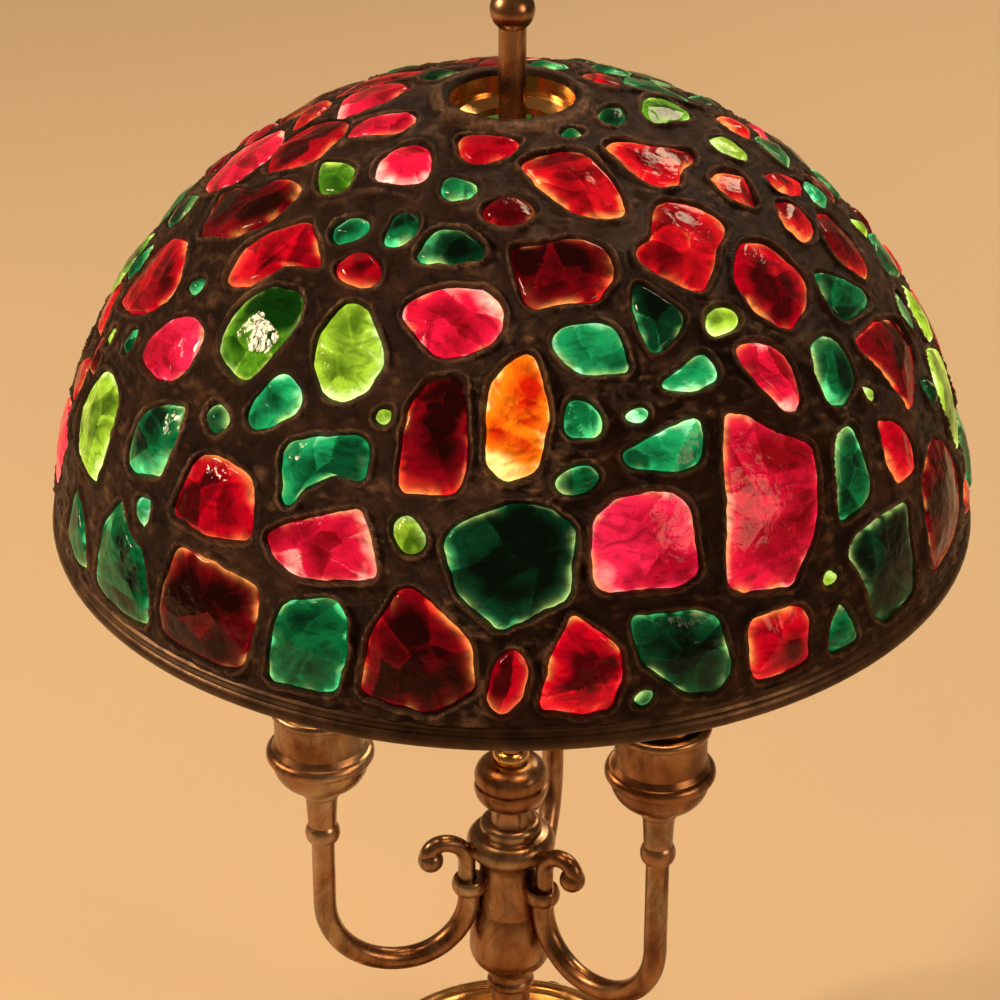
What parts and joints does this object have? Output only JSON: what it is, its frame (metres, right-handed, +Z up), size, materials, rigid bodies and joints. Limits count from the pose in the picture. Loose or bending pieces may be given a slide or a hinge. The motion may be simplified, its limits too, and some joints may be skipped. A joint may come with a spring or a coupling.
{
  "type": "table lamp",
  "caption": "Table lamp with a domed shade of chunky coloured glass set in lead, on a brass stem with bent arms, bell cups and a finial.",
  "frame": {"origin": "centre of the felt's underside, on the table", "axes": "+Z up along the stem, -Y to the lamp's front, the rear arm at +Y"},
  "size_m": [0.4024, 0.4021, 0.6119],
  "materials": {
    "silvered_brass": "worn silver plate over brass",
    "golden_brass": "polished",
    "dark_bronze": "patinated",
    "lead": "rough dark patina",
    "steel": "satin",
    "iron": "as cast",
    "felt": "felt",
    "black_plastic": "matte",
    "cap_metal": "threaded",
    "bulb_glass": "lit",
    "ruby_glass": "thick chipped chunk glass",
    "garnet_glass": "thick chipped chunk glass",
    "cherry_glass": "thick chipped chunk glass",
    "blush_glass": "thick chipped chunk glass",
    "scarlet_glass": "thick chipped chunk glass",
    "amber_glass": "thick chipped chunk glass",
    "emerald_glass": "thick chipped chunk glass",
    "bottle_glass": "thick chipped chunk glass",
    "mint_glass": "thick chipped chunk glass",
    "lime_glass": "thick chipped chunk glass",
    "moss_glass": "thick chipped chunk glass"
  },
  "bodies": {
    "stand": {"base_foot": "golden_brass", "base_weight": "iron", "base_felt": "felt", "base_washer": "steel", "base_nut": "steel", "cord_bush": "black_plastic", "stem_pipe": "golden_brass", "stem_column": "silvered_brass", "stem_ring": "silvered_brass", "arm_hub": "silvered_brass", "stem_vase": "silvered_brass", "stem_knob": "silvered_brass", "rod_bush": "golden_brass", "centre_rod": "silvered_brass", "rod_ball": "silvered_brass", "arm_right": "silvered_brass", "arm_left": "silvered_brass", "arm_rear": "silvered_brass", "ferrule_right": "silvered_brass", "ferrule_left": "silvered_brass", "ferrule_rear": "silvered_brass", "scroll_right": "silvered_brass", "scroll_left": "silvered_brass", "scroll_rear": "silvered_brass", "nozzle_right": "silvered_brass", "nozzle_left": "silvered_brass", "nozzle_rear": "silvered_brass", "cup_right": "silvered_brass", "cup_left": "silvered_brass", "cup_rear": "silvered_brass", "socket_right": "golden_brass", "socket_left": "golden_brass", "socket_rear": "golden_brass"},
    "finial": {"finial": "silvered_brass"},
    "height_collar": {"stop_collar": "golden_brass"},
    "clamp_screw": {"thumbscrew": "golden_brass"},
    "spider": {"shade_spider": "golden_brass"},
    "shade": {"shade_collar": "golden_brass", "rim_band": "dark_bronze", "lead_matrix": "lead", "ruby_glass": "ruby_glass", "garnet_glass": "garnet_glass", "cherry_glass": "cherry_glass", "blush_glass": "blush_glass", "scarlet_glass": "scarlet_glass", "amber_glass": "amber_glass", "emerald_glass": "emerald_glass", "bottle_glass": "bottle_glass", "mint_glass": "mint_glass", "lime_glass": "lime_glass", "moss_glass": "moss_glass"},
    "switch_right": {"key_right": "black_plastic"},
    "bulb_right": {"bulb_cap_right": "cap_metal", "bulb_glass_right": "bulb_glass"},
    "switch_left": {"key_left": "black_plastic"},
    "bulb_left": {"bulb_cap_left": "cap_metal", "bulb_glass_left": "bulb_glass"},
    "switch_rear": {"key_rear": "black_plastic"},
    "bulb_rear": {"bulb_cap_rear": "cap_metal", "bulb_glass_rear": "bulb_glass"}
  },
  "joints": [
    {"name": "shade_height", "type": "slide", "parent": "stand", "child": "height_collar", "axis": [0, 0, 1], "range_m": [-0.012, 0.012]},
    {"name": "clamp_screw_turn", "type": "hinge", "parent": "height_collar", "child": "clamp_screw", "pos_m": [0.012, 0, 0.494], "axis": [1, 0, 0], "range_deg": [0, 360]},
    {"name": "shade_turn", "type": "hinge", "parent": "height_collar", "child": "spider", "pos_m": [0, 0, 0.5], "axis": [0, 0, 1], "continuous": true},
    {"name": "shade_lift", "type": "slide", "parent": "spider", "child": "shade", "axis": [0, 0, 1], "range_m": [0, 0.28]},
    {"name": "finial_turn", "type": "hinge", "parent": "stand", "child": "finial", "pos_m": [0, 0, 0.59], "axis": [0, 0, 1], "range_deg": [0, 1440]},
    {"name": "switch_right_turn", "type": "hinge", "parent": "stand", "child": "switch_right", "pos_m": [0.05629, -0.0325, 0.2845], "axis": [0.866, -0.5, 0], "continuous": true},
    {"name": "bulb_right_out", "type": "slide", "parent": "stand", "child": "bulb_right", "axis": [0, 0, 1], "range_m": [0, 0.045]},
    {"name": "switch_left_turn", "type": "hinge", "parent": "stand", "child": "switch_left", "pos_m": [-0.05629, -0.0325, 0.2705], "axis": [-0.866, -0.5, 0], "continuous": true},
    {"name": "bulb_left_out", "type": "slide", "parent": "stand", "child": "bulb_left", "axis": [0, 0, 1], "range_m": [0, 0.045]},
    {"name": "switch_rear_turn", "type": "hinge", "parent": "stand", "child": "switch_rear", "pos_m": [0, 0.065, 0.2775], "axis": [0, 1, 0], "continuous": true},
    {"name": "bulb_rear_out", "type": "slide", "parent": "stand", "child": "bulb_rear", "axis": [0, 0, 1], "range_m": [0, 0.045]}
  ]
}
